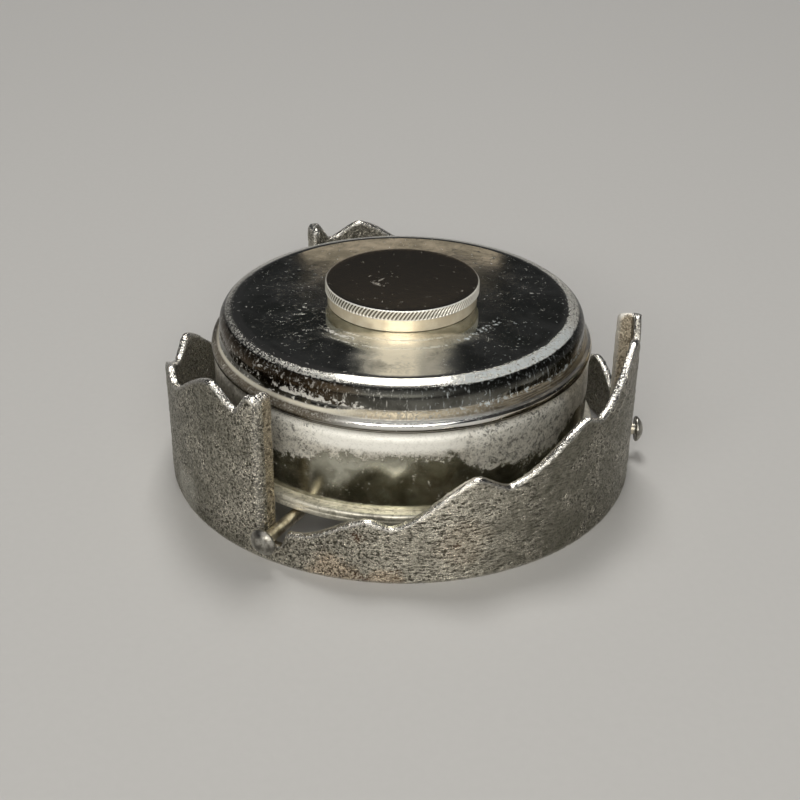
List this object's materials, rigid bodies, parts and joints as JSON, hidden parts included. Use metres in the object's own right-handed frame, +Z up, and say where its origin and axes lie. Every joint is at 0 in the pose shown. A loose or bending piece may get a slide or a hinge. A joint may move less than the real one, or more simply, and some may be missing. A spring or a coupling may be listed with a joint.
{
  "type": "pocket spirit stove",
  "caption": "Low round spirit burner with a slip-on cover and screw cap. Its radial arms rest in the notches of a cast stand ring whose stepped ramps set its height.",
  "frame": {"origin": "centre of the stand ring's flat foot, on the ring's axis", "axes": "+Z up along the ring's axis; +X along the arm whose neighbour stands 120 degrees counter-clockwise; the picture looks along +Y"},
  "size_m": [0.0931, 0.09, 0.0373],
  "materials": {
    "cast_ring": "rough cast, dull nickel plate",
    "plated_sheet": "polished nickel plate, tarnished",
    "polished_cover": "mirror-polished nickel plate with deposits",
    "plated_fitting": "satin nickel plate",
    "worn_brass": "nickel plate worn to brass",
    "gauze": "woven wire, sooty",
    "wadding": "matte fibre",
    "cap_seal": "matte leather"
  },
  "bodies": {
    "stand": {"stand_ring": "cast_ring"},
    "burner": {"burner_can": "plated_sheet", "base_disc": "plated_sheet", "wadding": "wadding", "hub_rivet": "plated_fitting", "hub_spacer": "worn_brass"},
    "arms": {"arm_hub": "plated_fitting", "arm_1": "worn_brass", "arm_2": "worn_brass", "arm_3": "worn_brass"},
    "cover": {"top_cover": "polished_cover", "neck": "plated_fitting", "gauze_disc": "gauze", "gauze_ring": "worn_brass"},
    "seal": {"cap_washer": "cap_seal"},
    "cap": {"screw_cap": "polished_cover"}
  },
  "joints": [
    {"name": "burner_rise", "type": "slide", "parent": "stand", "child": "burner", "axis": [0, 0, 1], "range_m": [0, 0.024]},
    {"name": "arm_turn", "type": "hinge", "parent": "burner", "child": "arms", "pos_m": [0, 0, 0.0054], "axis": [0, 0, 1], "range_deg": [0, 28.4]},
    {"name": "cover_lift", "type": "slide", "parent": "burner", "child": "cover", "axis": [0, 0, 1], "range_m": [0, 0.03]},
    {"name": "cap_rise", "type": "slide", "parent": "cover", "child": "seal", "axis": [0, 0, 1], "range_m": [0, 0.003]},
    {"name": "cap_turn", "type": "hinge", "parent": "seal", "child": "cap", "pos_m": [0, 0, 0.0354], "axis": [0, 0, 1], "range_deg": [0, 720]}
  ],
  "couplings": [
    {"joint": "arm_turn", "follows": "burner_rise", "rad_per_m": 20.65},
    {"joint": "cap_rise", "follows": "cap_turn", "m_per_rad": 0.00023873}
  ]
}
